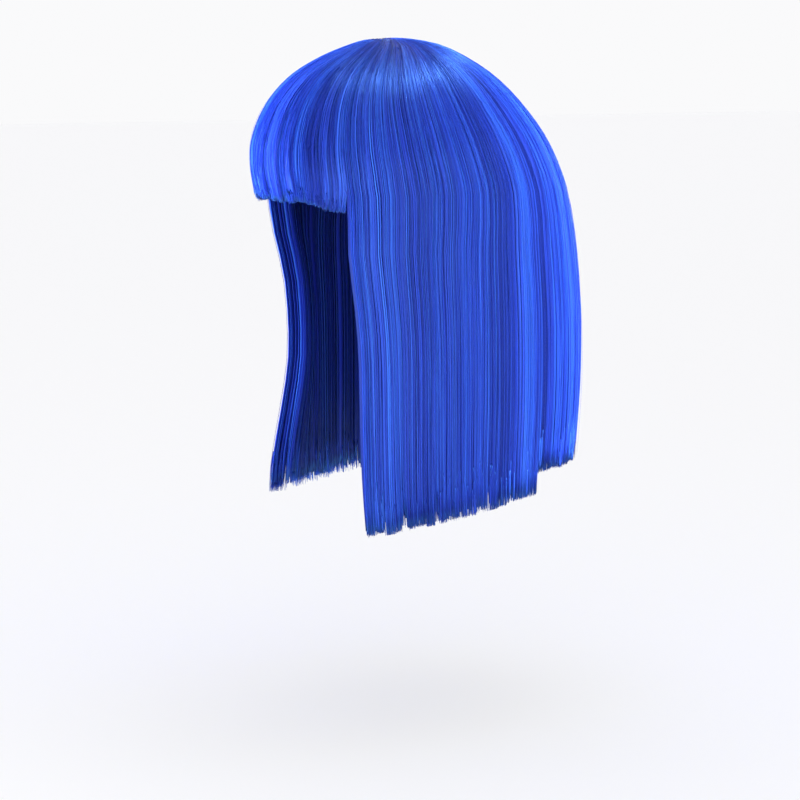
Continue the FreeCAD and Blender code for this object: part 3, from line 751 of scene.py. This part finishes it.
def net_lot(to_head, inside):
    """Net of crossing threads with open holes, on a lattice turned 45 degrees.

    to_head(u, v, offset) places it on the head form, and inside(u, v) says which knots the panel has.
    """
    count = int(NET_REACH / NET_PITCH)
    middles = np.arange(-count, count + 1) * NET_PITCH
    lines = np.sort(np.concatenate([middles - NET_THREAD / 2, middles + NET_THREAD / 2]))
    a, b = np.meshgrid(lines, lines, indexing="ij")
    ma, mb = np.meshgrid(middles, middles, indexing="ij")
    knot = inside((ma + mb) / math.sqrt(2), (ma - mb) / math.sqrt(2))
    solid = np.zeros((len(lines) - 1,) * 2, bool)
    solid[1::2, ::2] = knot[:-1] & knot[1:]
    solid[::2, 1::2] = knot[:, :-1] & knot[:, 1:]
    arms = np.pad(solid, 1)
    solid[::2, ::2] = knot & (arms[:-2, 1:-1] | arms[2:, 1:-1] | arms[1:-1, :-2] | arms[1:-1, 2:])[::2, ::2]
    size = len(lines)
    index = np.arange(size * size).reshape(size, size)
    i, j = np.nonzero(solid)
    corners = np.stack([index[i, j], index[i + 1, j], index[i + 1, j + 1], index[i, j + 1]], -1)
    faces = [corners, corners[:, ::-1] + size * size]
    padded = np.pad(solid, 1)
    for di, dj, start, end in ((0, -1, 0, 1), (1, 0, 1, 2), (0, 1, 2, 3), (-1, 0, 3, 0)):
        bare = ~padded[i + 1 + di, j + 1 + dj]
        near, far = corners[bare, start], corners[bare, end]
        faces.append(np.stack([far, near, near + size * size, far + size * size], -1))
    faces = np.concatenate(faces)
    u, v = ((a + b) / math.sqrt(2)).ravel(), ((a - b) / math.sqrt(2)).ravel()
    used, faces = np.unique(faces, return_inverse=True)
    faces = faces.reshape(-1, 4)
    layer = used >= size * size
    u, v = u[used % (size * size)], v[used % (size * size)]
    points = to_head(u, v, np.where(layer, NET_LOW, NET_HIGH))
    first = points[faces[0]]
    if np.cross(first[1] - first[0], first[2] - first[0]) @ head_normal(first[0]) < 0:
        faces = faces[:, ::-1]
    return points, faces, np.stack([u, v], -1)


def above_rim(points, margin=0.5):
    return points[..., 2] > np.interp(points[..., 1], RIM_Y, RIM_Z) + margin


def middle_net():
    def to_head(u, v, offset):
        across, over = u / HEAD_RADIUS, math.pi / 2 + v / HEAD_RADIUS
        return on_head(np.stack([np.sin(across), np.cos(across) * np.cos(over),
                                 np.cos(across) * np.sin(over)], -1), offset)

    def inside(u, v):
        points = to_head(u, v, NET_LOW)
        return ((abs(points[..., 0]) < PANEL_HALF - 0.4) & above_rim(points) & (abs(v) < 2.2 * HEAD_RADIUS)
                & (abs(u) < HEAD_RADIUS))

    return net_lot(to_head, inside)


def side_net(sign):
    def to_head(u, v, offset):
        turn = np.hypot(u, v) / HEAD_RADIUS
        share = np.sinc(turn / math.pi) / HEAD_RADIUS
        return on_head(np.stack([sign * np.cos(turn), u * share, v * share], -1), offset)

    def inside(u, v):
        points = to_head(u, v, NET_LOW)
        return ((sign * points[..., 0] > PANEL_HALF + 0.4) & above_rim(points)
                & (np.hypot(u, v) < 1.5 * HEAD_RADIUS))

    return net_lot(to_head, inside)


# ---------------------------------------------------------------- cap: bands, ribbons and the skin top
def band_with_stitches(path, normal, width, thick, edge=1.0, cloth=None, **stitch):
    """A woven band and a row of stitches near each of its edges."""
    lots = [(strip(path, normal, width, thick), cloth or ribbon_material)]
    across = unit(np.cross(unit(np.gradient(path, axis=0)), normal))
    for side in (-1, 1):
        for face in (normal, -normal):
            line = path + across * side * (width / 2 - edge) + face * (thick * 0.34)
            lots.append((stitches(line, face, **stitch), thread_material))
    return lots


def head_arc(x, start, end):
    """Line over the head at distance x from its middle, between two angles, kept above the nape's edge."""
    angle = np.radians(np.linspace(start, end, 200))
    ring = np.sqrt((HEAD_RADIUS + BAND_OFFSET) ** 2 - (x / NARROW) ** 2)
    line = np.stack([x + 0 * angle, ring * np.cos(angle), -HEAD_RADIUS + ring * np.sin(angle)], -1)
    return evenly(line[line[:, 2] > NAPE_Z + 1.5], 3.0)


def side_line(places, offset, sign=1, spacing=1.5):
    """Line over the side of the head through places in the side view."""
    flat = evenly(np.array([(0, y, z) for y, z in places], float), spacing)
    return head_side(flat[:, 1], flat[:, 2], sign, offset)


def level_line(z, offset, back_y, spacing=3.0):
    """Line round the front of the head at one height, from left to right."""
    ring = math.sqrt((HEAD_RADIUS + offset) ** 2 - (z + HEAD_RADIUS) ** 2)
    reach = math.acos(-back_y / ring)
    turn = np.linspace(-reach, reach, 120)
    return evenly(np.stack([-NARROW * ring * np.sin(turn), -ring * np.cos(turn), z + 0 * turn], -1), spacing)


def make_bands():
    middle = HAIRLINE_Z + HAIRLINE_WIDTH / 2
    drop = [(TEMPLE_Y + 3.5, middle), (TEMPLE_Y + 7.5, middle - 8), (TAB_FRONT + 4.6, TAB_TOP + 1)]
    left = side_line(drop, BAND_OFFSET)
    front = level_line(middle, BAND_OFFSET, TEMPLE_Y + 2.0)
    line = evenly(np.concatenate([left[::-1], front, left * (-1, 1, 1)]), 2.5)
    for _ in range(3):
        line[1:-1] = (line[:-2] + 2 * line[1:-1] + line[2:]) / 4
    line = on_head(as_round(line), np.full(len(line), BAND_OFFSET))
    on_cap("hairline_tape", band_with_stitches(line, head_normal(line), 9, 0.5), "band", "hairline_band")
    for name, x, start, end in (("middle", 0, 84, -50), ("left", PANEL_HALF, 170, -50),
                                ("right", -PANEL_HALF, 170, -50)):
        line = head_arc(x, start, end)
        line = line[(line[:, 1] > 0) | (line[:, 2] > HAIRLINE_Z + HAIRLINE_WIDTH + 1.5)]
        on_cap(f"seam_tape_{name}", band_with_stitches(line, head_normal(line), 9.6, 0.42), "ribbon",
               f"seam_ribbon_{name}")
    angle = np.linspace(-61, 61, 60)
    line = nape_point(angle, -138.5, 0.7)
    lots = band_with_stitches(line, nape_inward(angle), 21.5, 0.62, edge=1.6, cloth=elastic_material,
                              zigzag=0.7, long=1.5, gap=0.2)
    on_cap("nape_elastic", lots, "band", "nape_band")
    rim = [(y, z + 0.6) for y, z in zip(RIM_Y, RIM_Z) if -20 < y < 60]
    left = side_line(rim, CLOTH_OFFSET, 1, 2.0)
    ring = math.sqrt((HEAD_RADIUS + CLOTH_OFFSET) ** 2 - (left[-1, 2] + HEAD_RADIUS) ** 2)
    corner = math.asin(left[-1, 1] / ring)
    turn = np.linspace(corner, math.pi - corner, 60)[1:-1]
    back = np.stack([NARROW * ring * np.cos(turn), ring * np.sin(turn), left[-1, 2] + 0 * turn], -1)
    line = evenly(np.concatenate([left, back, left[::-1] * (-1, 1, 1)]), 2.0)
    on_cap("rim_binding", band_with_stitches(line, head_normal(line), 3.4, 0.9, edge=0.9), "band")


# heights of the patch's two faces above the head form, radii of its edge and stitches, and of the place
# where wefts stop short of it
SKIN_LAYERS = (1.15, 0.75)
SKIN_RADIUS, SEWN_RADIUS = 27.5, 26
SKIN_CLEAR = 31.5


def make_skin_top():
    """Round patch of skin-coloured cloth under the whorl."""
    rings, spokes = 14, 64
    share = np.linspace(0, 1, rings + 1)[1:]
    turn = np.arange(spokes) / spokes * 2 * math.pi
    x = NARROW * SKIN_RADIUS * share[:, None] * np.cos(turn)
    y = WHORL[1] + SKIN_RADIUS * share[:, None] * np.sin(turn)
    layers = [np.stack([x, y, head_height(x, y, offset)], -1).reshape(-1, 3) for offset in SKIN_LAYERS]
    hubs = [[(0, WHORL[1], head_height(0, WHORL[1], offset))] for offset in SKIN_LAYERS]
    points = np.concatenate(layers + hubs)
    index = np.arange(rings * spokes).reshape(rings, spokes)
    after = np.roll(index, -1, axis=1)
    upper = np.stack([index[:-1], index[1:], after[1:], after[:-1]], -1).reshape(-1, 4)
    last, beside = index[-1], after[-1]
    below = rings * spokes
    rim = np.stack([last, last + below, beside + below, beside], -1)
    hub, none = np.full(spokes, 2 * below), np.full(spokes, -1)
    over = np.stack([hub, index[0], after[0], none], -1)
    under = np.stack([hub + 1, after[0] + below, index[0] + below, none], -1)
    faces = np.concatenate([upper, upper[:, ::-1] + below, rim, over, under])
    line = np.append(turn, 2 * math.pi)
    edge_x, edge_y = NARROW * SEWN_RADIUS * np.cos(line), WHORL[1] + SEWN_RADIUS * np.sin(line)
    edge = np.stack([edge_x, edge_y, head_height(edge_x, edge_y, 1.2)], -1)
    cloth = (points, faces, points[:, :2])
    piece = on_cap("skin_top", [(cloth, skin_material)], "skin_top", "skin_top_patch")
    sewn = on_cap("skin_top_stitches", [(stitches(edge, head_normal(edge)), thread_material)], "skin_top")


# ---------------------------------------------------------------- cap: wefts
ROWS, ROWS_PAST_EARS, ROW_TILT, ROW_FIRST, ROW_PITCH, ROW_HEIGHT = 8, 5, math.radians(20), -20, 15, 4
FRONT_ROW_Y = -40
WEFT_OFFSET = 1.45


def tilted_row(number, offset):
    """Middle lines of a weft row round the back of the cap, from right to left, one for each stretch."""
    normal = np.array([0, math.sin(ROW_TILT), math.cos(ROW_TILT)])
    level = (ROW_FIRST - ROW_PITCH * number) * math.cos(ROW_TILT) + ROW_HEIGHT / 2
    away = level + HEAD_RADIUS * math.cos(ROW_TILT)
    ring = math.sqrt((HEAD_RADIUS + offset) ** 2 - away ** 2)
    turn = np.linspace(-math.pi / 2, 1.5 * math.pi, 721)
    side = np.array([0, math.cos(ROW_TILT), -math.sin(ROW_TILT)])
    line = normal * away + ring * (np.cos(turn)[:, None] * (1, 0, 0) + np.sin(turn)[:, None] * side)
    line = as_head(line)
    front = FRONT_ROW_Y if number < ROWS_PAST_EARS else 14
    clear = from_whorl(line, NARROW) > SKIN_CLEAR
    kept = np.flatnonzero((line[:, 1] > front) & above_rim(line, ROW_HEIGHT / 2 + 0.3) & clear)
    stretches = np.split(kept, np.flatnonzero(np.diff(kept) > 1) + 1)
    return [evenly(line[stretch], 1.25) for stretch in stretches if len(stretch) > 8]


def weft_lots(line):
    """Sewn head of a weft, the hair folded over it, and the hair's first stretch down the cap."""
    normal = head_normal(line)
    along = unit(np.gradient(line, axis=0))
    down = unit(np.cross(normal, along))
    down = down * np.sign(-down[:, 2:] + 1e-9)
    lots = [(strip(line, normal, ROW_HEIGHT - 0.6, 0.3, FLAT_FACE), weft_material)]
    across = np.linspace(-0.5, 0.5, 4)
    bundles = line[:, None] + down[:, None] * across[:, None] * (ROW_HEIGHT - 0.2) + normal[:, None] * 0.22
    count = len(line)
    bundles = bundles + along[:, None] * rng.normal(0, 0.12, (count, 1, 1))
    size = rng.uniform(0.95, 1.3, (count, 1)) * np.array([0.8, 1, 1, 0.85])
    facing = np.repeat(normal[:, None], 4, axis=1)
    lots.append((sweep(bundles, facing, size, size * 0.36, 6), hair_material))
    for side in (-1.1, 0, 1.1):
        row = line + down * side + normal * 0.42
        lots.append((stitches(row, normal, 1.0, 0.25, 0.3), weft_thread_material))
    lots.append((weft_hair(line), hair_material))
    return lots


def weft_hair(roots):
    """Locks that leave a weft and follow the cap down, then hang."""
    steps = 8
    low = smoothstep(80, 120, -roots[:, 2])
    reach = (rng.uniform(24, 40, len(roots)) * (1 + 1.6 * low))[:, None] * np.linspace(0, 1, steps)
    start = as_round(roots)
    turn = np.arctan2(start[:, 1], start[:, 0])[:, None] + rng.normal(0, 0.01, (len(roots), 1))
    tilt = np.arccos(np.clip(start[:, 2] / np.linalg.norm(start, axis=1), -1, 1))[:, None]
    over = np.minimum(reach, np.maximum((math.pi / 2 - tilt) * HEAD_RADIUS, 0))
    offset = 1.9 + 0.5 * smoothstep(0, 12, reach)
    polar = tilt + over / HEAD_RADIUS
    round_head = np.stack([np.sin(polar) * np.cos(turn), np.sin(polar) * np.sin(turn), np.cos(polar)], -1)
    line = on_head(round_head, offset)
    line[..., 2] -= reach - over
    facing = head_normal(line)
    size = rng.uniform(1.2, 1.8, (len(roots), 1)) * np.array([0.8, 1, 1, 1, 0.95, 0.8, 0.5, 0.12])
    return sweep(line, facing, size, 0.3 * size, 6)


def make_wefts():
    for number in range(ROWS):
        lots = [lot for line in tilted_row(number, WEFT_OFFSET) for lot in weft_lots(line)]
        on_cap(f"weft_{number + 1}", lots, "weft_seam", f"weft_row_{number + 1}")
    for number in range(2):
        line = level_line(-22 - 12 * number, WEFT_OFFSET, FRONT_ROW_Y - 1.5, 1.25)
        lots = weft_lots(line[from_whorl(line, NARROW) > SKIN_CLEAR])
        on_cap(f"weft_front_{number + 1}", lots, "weft_seam", f"weft_row_front_{number + 1}")


# ---------------------------------------------------------------- cap: ear tabs and label
def make_ear_tabs():
    middle = (TAB_FRONT + TAB_BACK) / 2
    toe = TAB_TOP - TAB_LENGTH
    outline = [(TAB_FRONT + 1.6, TAB_TOP), (middle - TAB_TOE, toe + 6.5), (middle - TAB_TOE / 2, toe + 0.7),
               (middle + TAB_TOE / 2, toe + 0.7), (middle + TAB_TOE, toe + 6.5), (TAB_BACK - 1.6, TAB_TOP)]
    heights = np.linspace(TAB_TOP, toe + 0.8, 22)
    half = np.interp(heights, [toe + 0.5, toe + 6.5, TAB_TOP],
                     [TAB_TOE / 2, TAB_TOE, (TAB_BACK - TAB_FRONT) / 2 - 1.6])
    for side, sign in SIDES:
        line = head_side(middle, heights, sign, CLOTH_OFFSET)
        cloth = strip(line, head_normal(line), 2 * half, 0.5, FLAT_FACE)
        cloth[0][:] = settle(cloth[0], line, CLOTH_OFFSET)
        edge = side_line(outline, CLOTH_OFFSET, sign, 1.2)
        sewn = [(middle + (y - middle) * 0.72, TAB_TOP - 1 + (z - TAB_TOP) * 0.86) for y, z in outline]
        inner = side_line(sewn, 0.72, sign, 1.2)
        tab = f"ear_tab_{side}"
        piece = on_cap(f"ear_tab_cloth_{side}", [(cloth, tab_material)], "tab", tab, body=tab)
        bound = on_cap(f"ear_tab_binding_{side}", [
            (strip(edge, head_normal(edge), 2.0, 0.95), ribbon_material),
            (stitches(inner, head_normal(inner), 1.8, 0.9, 0.34), thread_material)], "tab", body=tab)
        ends = [(TAB_FRONT + 0.6, TAB_TOP + 1.2), (TAB_BACK - 0.6, TAB_TOP + 1.2)]
        seam = side_line(ends, CLOTH_OFFSET, sign, 1.2)
        lots = band_with_stitches(seam, head_normal(seam), 7.0, 1.1, edge=1.4)
        tape = composed(f"ear_tab_seam_{side}", lots)
        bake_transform(tape)


def settle(points, line, offset):
    """Points moved onto the head form's curve, keeping their height above the line's own layer."""
    away = points[:, None] - line
    middle = line[np.argmin(np.linalg.norm(away[..., 1:], axis=-1) + abs(away[..., 2]) * 3, axis=1)]
    high = ((points - middle) * head_normal(middle)).sum(1)
    return on_head(as_round(points), offset + np.clip(high, -0.4, 0.4))


def make_label():
    """Blank satin label sewn into the back of the cap along its top edge."""
    heights = np.linspace(-78.3, -99.6, 14)
    curl = 1.6 * smoothstep(-92, -100, heights)
    ring = np.sqrt((HEAD_RADIUS - 0.3) ** 2 - (heights + HEAD_RADIUS) ** 2)
    line = np.stack([0 * heights, ring - curl, heights], -1)
    normal = -head_normal(line)
    cloth = strip(line, normal, 27.5, 0.3, FLAT_FACE)
    bent = cloth[0]
    bent[:, 1] += np.sqrt(np.maximum(90 ** 2 - (bent[:, 0] / NARROW) ** 2, 0)) - 90
    piece = on_cap("label_cloth", [(cloth, label_material)], "label", "care_label")
    x = np.linspace(-12.6, 12.6, 20)
    lots = []
    for z in (-79.4, -80.8):
        y = np.sqrt((HEAD_RADIUS - 0.55) ** 2 - (z + HEAD_RADIUS) ** 2 - (x / NARROW) ** 2)
        row = np.stack([x, y, z + 0 * x], -1)
        lots.append((stitches(row, -head_normal(row), 1.8, 0.8, 0.34), thread_material))
    sewn = on_cap("label_stitches", lots, "label")


# ---------------------------------------------------------------- nape adjusters
ADJUSTER_Z = -138
LOOP_ANGLES = (10, 18, 26, 34)
# arch of a loop from its upper end: heights, and how far it stands inwards
LOOP_ARCH = np.array([(-133.2, -134.2, -135.2, -136.6, -138, -139.4, -140.8, -141.8, -142.8),
                      (1.75, 1.95, 2.4, 2.5, 2.5, 2.5, 2.4, 1.95, 1.75)])
# strap from its anchor round the hook's bar and back: angle from the middle of the nape, distance inwards
STRAP_LINE = np.array([(59.6, 1.6), (58.6, 2.1), (57.6, 3.2), (56, 3.7), (50, 3.75), (42, 3.75), (34, 3.75),
                       (28, 3.8), (25, 4.2), (23.4, 4.6), (22, 4.72), (21, 4.5), (20.45, 3.8), (21, 3.05),
                       (22, 2.93), (23.4, 2.93), (24.8, 3.0)])


def make_adjusters():
    for side, sign in SIDES:
        angle = np.linspace(3.3, 40.7, 30) * sign
        line = nape_point(angle, ADJUSTER_Z, 1.5)
        lots = band_with_stitches(line, nape_inward(angle), 13, 0.42, edge=1.1,
                                  long=1.6, gap=0.6, thread=0.34)
        for place in LOOP_ANGLES:
            arch = nape_point(sign * place, *LOOP_ARCH)
            lots.append((strip(arch, nape_inward(np.full(9, sign * place)), 1.9, 0.3), elastic_material))
        on_cap(f"loop_tape_cloth_{side}", lots, "band", f"loop_tape_{side}")
        make_strap(side, sign)


def make_strap(side, sign):
    """Elastic from its anchor on the band, round the hook's bar and back under itself."""
    rows = smooth_rows(STRAP_LINE, np.linspace(0, len(STRAP_LINE) - 1, 90))
    line = nape_point(sign * rows[:, 0], ADJUSTER_Z, rows[:, 1])
    normal = unit(np.cross(np.gradient(line, axis=0), (0, 0, 1))) * sign
    piece = composed(f"strap_elastic_{side}", [(strip(line, normal, 7.0, 0.42), elastic_material)],
                     f"adjuster_strap_{side}")
    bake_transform(piece)
    lots = []
    for place in (55.4, 57.4):
        row = nape_point(sign * place, np.linspace(-135.2, -140.8, 8), 4.0)
        lots.append((stitches(row, nape_inward(np.full(8, sign * place)), 1.2, 0.3, 0.36), thread_material))
    on_cap(f"strap_anchor_stitches_{side}", lots, "elastic")


# ---------------------------------------------------------------- cloth, thread, plastic and metal
def woven(name, colour, roughness, pitch_u, pitch_v, strength=0.6, sheen=0.3, vary=0.25):
    """Cloth whose threads cross at the given pitches in millimetres along and across its strip."""
    made, tree, shader = material(name, colour, roughness)
    uv = node(tree, "UVMap", {}, uv_map="strand")[0]
    apart = node(tree, "SeparateXYZ", {"Vector": uv})
    waves = []
    for axis, pitch in (("X", pitch_u), ("Y", pitch_v)):
        scaled = node(tree, "Math", {0: apart[axis], 1: math.pi / pitch}, operation="MULTIPLY")[0]
        waves.append(node(tree, "Math", {0: scaled}, operation="SINE")[0])
    crossing = node(tree, "Math", {0: waves[0], 1: waves[1], 2: 0.5}, operation="MULTIPLY_ADD")[0]
    noise = node(tree, "TexNoise", {"Vector": uv, "Scale": 0.35, "Detail": 4.0})[0]
    mixed = node(tree, "Math", {0: crossing, 1: 0.35, 2: noise}, operation="MULTIPLY_ADD")[0]
    dark = tuple(c * (1 - vary * 1.6) for c in colour)
    light = tuple(min(1, c * (1 + vary)) for c in colour)
    painted = ramp(tree, mixed, [(0.3, (*dark, 1)), (0.9, (*light, 1))])
    bump = node(tree, "Bump", {"Height": crossing, "Strength": strength, "Distance": 0.00015})[0]
    feed(tree, shader, {"Base Color": painted, "Normal": bump, "Sheen Weight": sheen, "Sheen Roughness": 0.5})
    return made


def moulded(name, colour, roughness, metallic=0.0, grain=900.0):
    """Plastic or metal with a fine uneven surface."""
    made, tree, shader = material(name, colour, roughness)
    place = node(tree, "TexCoord", {})["Object"]
    noise = node(tree, "TexNoise", {"Vector": place, "Scale": grain, "Detail": 3.0})[0]
    dark = tuple(c * 0.8 for c in colour)
    painted = ramp(tree, noise, [(0.35, (*dark, 1)), (0.65, (*colour, 1))])
    bump = node(tree, "Bump", {"Height": noise, "Strength": 0.25, "Distance": 0.0001})[0]
    feed(tree, shader, {"Base Color": painted, "Normal": bump, "Metallic": metallic})
    return made


net_material = woven("net_yarn", (0.022, 0.024, 0.035), 0.7, 0.35, 0.35)
ribbon_material = woven("woven_ribbon", (0.03, 0.032, 0.045), 0.6, 0.5, 0.8)
elastic_material = woven("ribbed_elastic", (0.028, 0.03, 0.042), 0.65, 0.8, 0.5, strength=0.9)
weft_material = woven("weft_tape", (0.012, 0.03, 0.3), 0.6, 0.4, 0.4)
thread_material = woven("sewing_thread", (0.045, 0.048, 0.06), 0.5, 0.3, 0.25)
weft_thread_material = woven("weft_thread", (0.01, 0.022, 0.2), 0.5, 0.3, 0.25)
tab_material = woven("tab_cloth", (0.035, 0.038, 0.052), 0.65, 0.45, 0.45)
label_material = woven("label_satin", (0.82, 0.83, 0.85), 0.42, 0.25, 0.5, strength=0.25, vary=0.03)
skin_material = woven("skin_cloth", (0.78, 0.62, 0.53), 0.6, 0.5, 0.5, strength=0.3, sheen=0.1, vary=0.06)
hook_material = moulded("matte_plastic", (0.025, 0.025, 0.03), 0.5)
stay_material = moulded("brushed_metal", (0.62, 0.62, 0.64), 0.32, metallic=1.0, grain=1500.0)

net_pieces = [on_cap("net_middle", [(middle_net(), net_material)], "net", "net_panel_middle")]
for side_name, side_sign in SIDES:
    net_pieces.append(on_cap(f"net_{side_name}", [(side_net(side_sign), net_material)], "net",
                             f"net_panel_{side_name}"))
make_bands()
make_skin_top()
make_wefts()
make_ear_tabs()
make_label()
make_adjusters()
for node_name, made in (("adjuster_hook", hook_material), ("ear_stay", stay_material)):
    for side_name, _ in SIDES:
        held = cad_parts[f"{node_name}_{side_name}"]
        held.data.materials.clear()
        held.data.materials.append(made)


# ---------------------------------------------------------------- floor, light and camera
def make_floor():
    """Pale floor; returns the collection that keeps the rim lights off it."""
    mesh = bpy.data.meshes.new("floor")
    reach = 12
    low = -0.493
    mesh.from_pydata([(-reach, -reach, low), (reach, -reach, low), (reach, reach, low), (-reach, reach, low)],
                     [], [(0, 1, 2, 3)])
    floor = placed("floor", mesh)
    floor_only = bpy.data.collections.new("unlit_by_rims")
    floor_only.objects.link(floor)
    floor_only.collection_objects[0].light_linking.link_state = "EXCLUDE"
    made, tree, shader = material("floor_paint", (0.86, 0.86, 0.87), 0.8)
    feed(tree, shader, {"Specular IOR Level": 0.1, "Emission Color": (1, 1, 1, 1), "Emission Strength": 0.11})
    mesh.materials.append(made)
    return floor_only


def area_light(name, place, aim, size, power, colour=(1, 1, 1), diffuse=True, glossy=True, passes_by=None):
    light = bpy.data.lights.new(name, "AREA")
    light.shape = "DISK"
    light.size = size
    light.energy = power
    holder = placed(name, light)
    holder.location = place
    light.color = colour
    holder.visible_diffuse = diffuse
    holder.visible_glossy = glossy
    if passes_by:
        holder.light_linking.receiver_collection = passes_by
    direction = Vector(aim) - Vector(place)
    holder.rotation_euler = direction.to_track_quat("-Z", "Y").to_euler()


def make_light(floor_only):
    world = bpy.data.worlds.new("studio")
    world.use_nodes = True
    background = world.node_tree.nodes["Background"]
    background.inputs["Color"].default_value = (0.955, 0.955, 0.965, 1)
    background.inputs["Strength"].default_value = 1.0
    bpy.context.scene.world = world
    middle = (0, 0, -0.15)
    area_light("key", (1.1, -1.1, -0.3), middle, 0.9, 13)
    area_light("top", (0.2, 0.3, 1.35), (0, 0, 0), 0.25, 55, (0.25, 0.5, 1.0), diffuse=False)
    area_light("rim_back", (0.43, 1.54, 0.1), middle, 1.0, 120, (0.8, 1.0, 1.0), glossy=False,
               passes_by=floor_only)
    area_light("rim_front", (-1.2, -1.1, 0.1), middle, 1.0, 160, (0.8, 1.0, 1.0), glossy=False,
               passes_by=floor_only)


def make_camera():
    """At the height of the crown, to the wearer's left and a little in front, looking slightly down."""
    azimuth = math.radians(62.5)
    pitch = math.radians(10.07)
    distance = 1.434
    camera = bpy.data.cameras.new("camera")
    camera.sensor_width = 36
    camera.lens = 88.2
    holder = placed("camera", camera)
    holder.location = (distance * math.sin(azimuth), -distance * math.cos(azimuth) - 0.004, -0.003)
    level = Vector((-math.sin(azimuth), math.cos(azimuth), 0))
    ahead = level * math.cos(pitch) - Vector((0, 0, 1)) * math.sin(pitch)
    holder.rotation_euler = ahead.to_track_quat("-Z", "Y").to_euler()
    bpy.context.scene.camera = holder


make_light(make_floor())
make_camera()
bpy.context.scene.view_settings.view_transform = "Standard"
